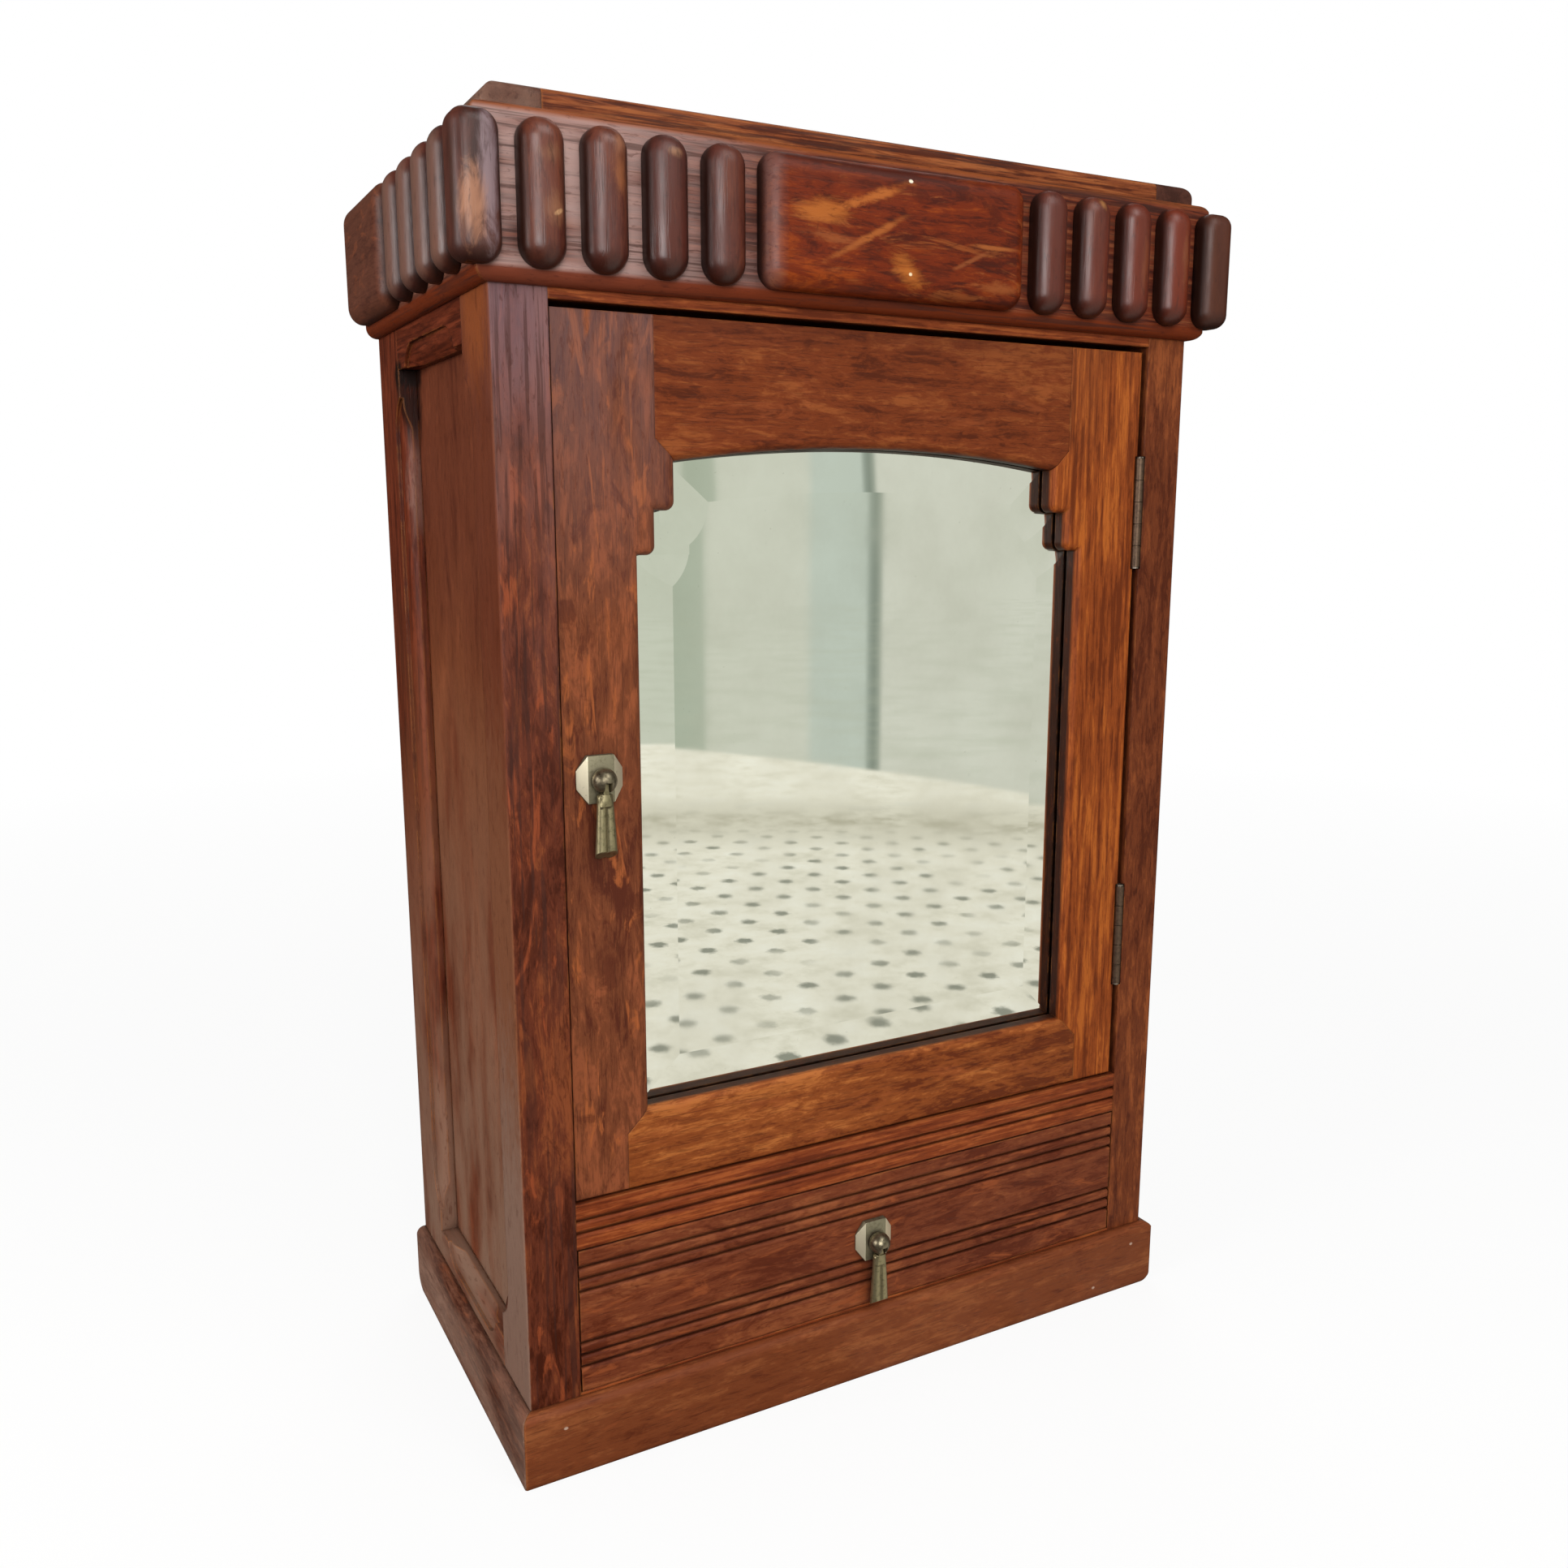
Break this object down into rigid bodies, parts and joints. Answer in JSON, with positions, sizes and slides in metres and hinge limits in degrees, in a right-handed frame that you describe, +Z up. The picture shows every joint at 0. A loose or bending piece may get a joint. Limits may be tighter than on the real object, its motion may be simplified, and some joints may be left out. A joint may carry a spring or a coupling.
{
  "type": "medicine cabinet",
  "caption": "Oak wall cabinet with a ribbed cornice, a stepped and arched mirror door on butt hinges, shelves behind it and a reeded drawer below.",
  "frame": {"origin": "on the floor under the middle of the bounding box", "axes": "+Z up, the height; the front faces -Y and the back lies against a wall on +Y; +X is to the right as seen from the front"},
  "size_m": [0.456, 0.238, 0.688],
  "materials": {
    "oak_case": "stained and polished oak",
    "oak_dark": "dark stained oak, worn",
    "oak_door": "stained and polished oak",
    "oak_inside": "plain planed oak",
    "mirror": "bevelled silvered glass",
    "aged_brass": "aged, dull",
    "steel_pin": "dull"
  },
  "bodies": {
    "case": {"left_front_post": "oak_case", "right_front_post": "oak_case", "left_rear_stile": "oak_case", "right_rear_stile": "oak_case", "left_top_rail": "oak_case", "right_top_rail": "oak_case", "left_bottom_rail": "oak_case", "right_bottom_rail": "oak_case", "left_side_panel": "oak_case", "right_side_panel": "oak_case", "head_rail": "oak_case", "reeded_rail": "oak_case", "front_bottom_rail": "oak_case", "case_bottom": "oak_inside", "drawer_divider": "oak_inside", "shelves": "oak_inside", "shelf_battens": "oak_inside", "drawer_guides": "oak_inside", "drawer_stops": "oak_inside", "back_panel": "oak_inside", "hanging_rail": "oak_inside", "top_board": "oak_case", "top_cleats": "oak_case", "plinth_front": "oak_case", "plinth_left": "oak_case", "plinth_right": "oak_case", "frieze_front": "oak_dark", "frieze_left": "oak_dark", "frieze_right": "oak_dark", "front_ribs": "oak_dark", "left_ribs": "oak_dark", "right_ribs": "oak_dark", "corner_blocks": "oak_dark", "centre_block": "oak_dark", "rear_blocks": "oak_dark", "case_hinge_leaves": "aged_brass", "hinge_pins": "steel_pin", "case_hinge_screws": "aged_brass", "strike_plate": "aged_brass"},
    "door": {"door_left_stile": "oak_door", "door_right_stile": "oak_door", "door_top_rail": "oak_door", "door_bottom_rail": "oak_door", "mirror_glass": "mirror", "mirror_backing": "oak_inside", "mirror_beads": "oak_door", "door_hinge_leaves": "aged_brass", "door_hinge_screws": "aged_brass", "ball_catch": "aged_brass", "door_pull_plate": "aged_brass", "door_pull_boss": "aged_brass"},
    "door_drop": {"door_pull_drop": "aged_brass"},
    "drawer": {"drawer_front": "oak_door", "drawer_left_side": "oak_inside", "drawer_right_side": "oak_inside", "drawer_back": "oak_inside", "drawer_bottom": "oak_inside", "drawer_pull_plate": "aged_brass", "drawer_pull_boss": "aged_brass"},
    "drawer_drop": {"drawer_pull_drop": "aged_brass"}
  },
  "joints": [
    {"name": "door_hinge", "type": "hinge", "parent": "case", "child": "door", "pos_m": [0.1804, -0.0995, 0.37315], "axis": [0, 0, 1], "range_deg": [0, 110]},
    {"name": "drawer_slide", "type": "slide", "parent": "case", "child": "drawer", "axis": [0, -1, 0], "range_m": [0, 0.15]},
    {"name": "door_drop_swing", "type": "hinge", "parent": "door", "child": "door_drop", "pos_m": [-0.1624, -0.1068, 0.37315], "axis": [-1, 0, 0], "range_deg": [0, 60]},
    {"name": "drawer_drop_swing", "type": "hinge", "parent": "drawer", "child": "drawer_drop", "pos_m": [0, -0.1088, 0.0845], "axis": [-1, 0, 0], "range_deg": [0, 60]}
  ]
}
